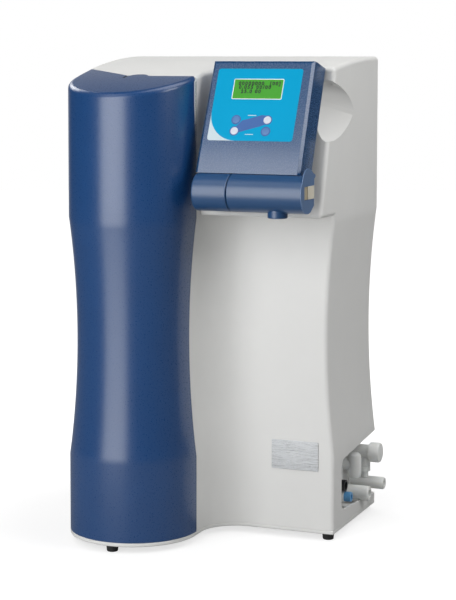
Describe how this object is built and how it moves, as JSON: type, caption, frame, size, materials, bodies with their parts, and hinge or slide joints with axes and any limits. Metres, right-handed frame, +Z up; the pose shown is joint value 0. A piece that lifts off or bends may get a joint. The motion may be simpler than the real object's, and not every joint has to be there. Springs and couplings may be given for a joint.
{
  "type": "laboratory water purification system",
  "caption": "Bench-top laboratory water purification unit with a waisted housing, pull-off cartridge cover, tilted display console, dispensing knob and a side hose bay.",
  "frame": {"origin": "on the bench, under the middle of the whole unit", "axes": "+Z up, the unit's front faces -Y, its hose bay is on +X"},
  "size_m": [0.3719, 0.338, 0.615],
  "materials": {
    "blue_shell": "moulded, satin metallic blue",
    "white_shell": "moulded, fine matt texture",
    "natural_polymer": "natural translucent polymer",
    "white_polymer": "bright white polymer",
    "blue_collet": "moulded, blue",
    "sheet_steel": "folded sheet, brushed",
    "screw_steel": "zinc plated",
    "rubber": "moulded rubber",
    "black_polymer": "moulded, black",
    "film": "printed polyester film",
    "display": "backlit green display",
    "key_white": "embossed key",
    "key_violet": "embossed key",
    "circuit": "glass-fibre board",
    "lock_tab": "moulded, cream",
    "cartridge": "moulded, white",
    "grey_polymer": "moulded, dark grey",
    "motor_paint": "painted",
    "lamp_glass": "quartz sleeve",
    "bright_steel": "drawn tube, polished",
    "metal_case": "folded case",
    "clear_tube": "flexible tubing"
  },
  "bodies": {
    "housing": {"housing_shell": "white_shell", "rear_panel": "sheet_steel", "rear_screws": "screw_steel", "base_plate": "white_shell", "rubber_feet": "rubber", "front_plate": "sheet_steel", "cover_clips": "black_polymer", "console_front": "blue_shell", "console_back": "blue_shell", "console_bracket": "white_shell", "key_film": "film", "lcd_frame": "white_polymer", "lcd_glass": "display", "display_board": "circuit", "outlet_barrel": "blue_shell", "barrel_end_plate": "blue_shell", "locking_tab": "lock_tab", "dispense_valve": "natural_polymer", "outlet_nozzle": "blue_shell", "bay_tray": "white_shell", "lower_port": "natural_polymer", "union_collar": "white_polymer", "upper_port": "natural_polymer", "upper_port_cap": "natural_polymer", "check_valve": "natural_polymer", "drain_port": "natural_polymer", "feed_port": "white_polymer", "feed_collet": "blue_collet", "power_socket": "black_polymer", "signal_socket": "metal_case", "port_seals": "rubber", "equipment_plate": "sheet_steel", "cartridge_cradle": "white_shell", "polishing_cartridge": "cartridge", "cartridge_head": "grey_polymer", "uv_chamber": "bright_steel", "uv_caps": "black_polymer", "uv_lamp": "lamp_glass", "uv_clamps": "black_polymer", "ultrafilter": "cartridge", "filter_clamps": "black_polymer", "conductivity_cell": "grey_polymer", "pump_mount": "rubber", "pump_motor": "motor_paint", "pump_head": "grey_polymer", "feed_valve": "grey_polymer", "control_board": "circuit", "power_supply": "metal_case", "water_tubes": "clear_tube"},
    "cover": {"front_cover": "blue_shell", "cover_studs": "blue_shell"},
    "knob": {"dispense_knob": "blue_shell", "knob_spindle": "bright_steel"},
    "upper_left_button": {"upper_left_key": "key_violet"},
    "upper_right_button": {"upper_right_key": "key_white"},
    "lower_left_button": {"lower_left_key": "key_white"},
    "lower_right_button": {"lower_right_key": "key_violet"}
  },
  "joints": [
    {"name": "cover_pull", "type": "slide", "parent": "housing", "child": "cover", "axis": [0, -1, 0], "range_m": [0, 0.2]},
    {"name": "knob_turn", "type": "hinge", "parent": "housing", "child": "knob", "pos_m": [0.05, -0.111, 0.4485], "axis": [1, 0, 0], "range_deg": [0, 90]},
    {"name": "upper_left_press", "type": "slide", "parent": "housing", "child": "upper_left_button", "axis": [0, 0.9311, -0.3649], "range_m": [0, 0.0005], "stiffness_N_per_m": 2000},
    {"name": "upper_right_press", "type": "slide", "parent": "housing", "child": "upper_right_button", "axis": [0, 0.9311, -0.3649], "range_m": [0, 0.0005], "stiffness_N_per_m": 2000},
    {"name": "lower_left_press", "type": "slide", "parent": "housing", "child": "lower_left_button", "axis": [0, 0.9311, -0.3649], "range_m": [0, 0.0005], "stiffness_N_per_m": 2000},
    {"name": "lower_right_press", "type": "slide", "parent": "housing", "child": "lower_right_button", "axis": [0, 0.9311, -0.3649], "range_m": [0, 0.0005], "stiffness_N_per_m": 2000}
  ]
}
